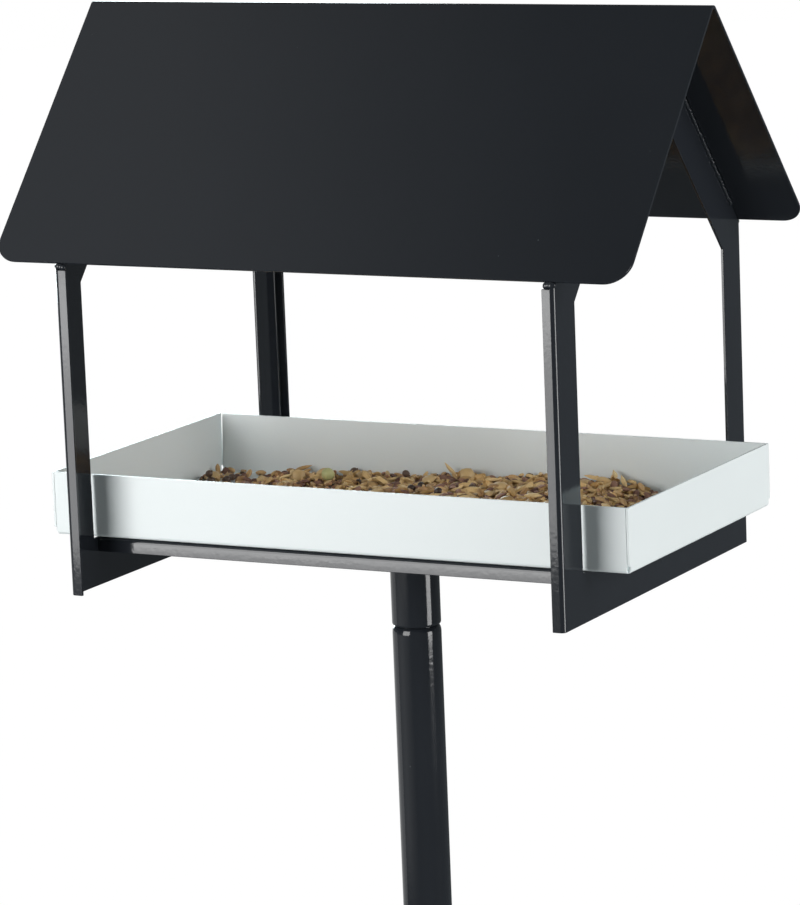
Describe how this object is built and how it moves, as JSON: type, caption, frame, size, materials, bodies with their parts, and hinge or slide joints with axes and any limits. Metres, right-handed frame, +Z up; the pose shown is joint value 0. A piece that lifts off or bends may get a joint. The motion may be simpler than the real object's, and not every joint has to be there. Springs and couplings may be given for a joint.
{
  "type": "bird table",
  "caption": "Bird table: a folded steel house with a ridge roof and a loose light grey-white feed tray, on a plug-together tube pole with a flat square foot.",
  "frame": {"origin": "on the ground under the foot plate, on the pole's axis", "axes": "+Z up along the pole, +X along the roof's ridge and the tray's length, -Y the front"},
  "size_m": [0.347, 0.3, 1.3394],
  "materials": {
    "powder_coat": "dark anthracite powder coat, satin, with a fine grain",
    "light_coat": "light grey-white powder coat on steel sheet, satin",
    "bird_feed": "mixed dry seeds, kernels and husks"
  },
  "bodies": {
    "foot": {"foot_plate": "powder_coat", "foot_tube": "powder_coat"},
    "lower_section": {"pole_lower": "powder_coat"},
    "middle_section": {"pole_middle": "powder_coat"},
    "upper_section": {"pole_upper": "powder_coat"},
    "house": {"roof_sheet": "powder_coat", "left_end_frame": "powder_coat", "right_end_frame": "powder_coat", "base_plate": "powder_coat", "pole_socket": "powder_coat"},
    "tray": {"feed_tray": "light_coat", "seed_heap": "bird_feed"}
  },
  "joints": [
    {"name": "lower_lift", "type": "slide", "parent": "foot", "child": "lower_section", "axis": [0, 0, 1], "range_m": [0, 0.045]},
    {"name": "middle_lift", "type": "slide", "parent": "lower_section", "child": "middle_section", "axis": [0, 0, 1], "range_m": [0, 0.045]},
    {"name": "upper_lift", "type": "slide", "parent": "middle_section", "child": "upper_section", "axis": [0, 0, 1], "range_m": [0, 0.045]},
    {"name": "house_turn", "type": "hinge", "parent": "upper_section", "child": "house", "pos_m": [0, 0, 1.024], "axis": [0, 0, 1], "continuous": true},
    {"name": "tray_slide", "type": "slide", "parent": "house", "child": "tray", "axis": [1, 0, 0], "range_m": [-0.3, 0.3]}
  ]
}
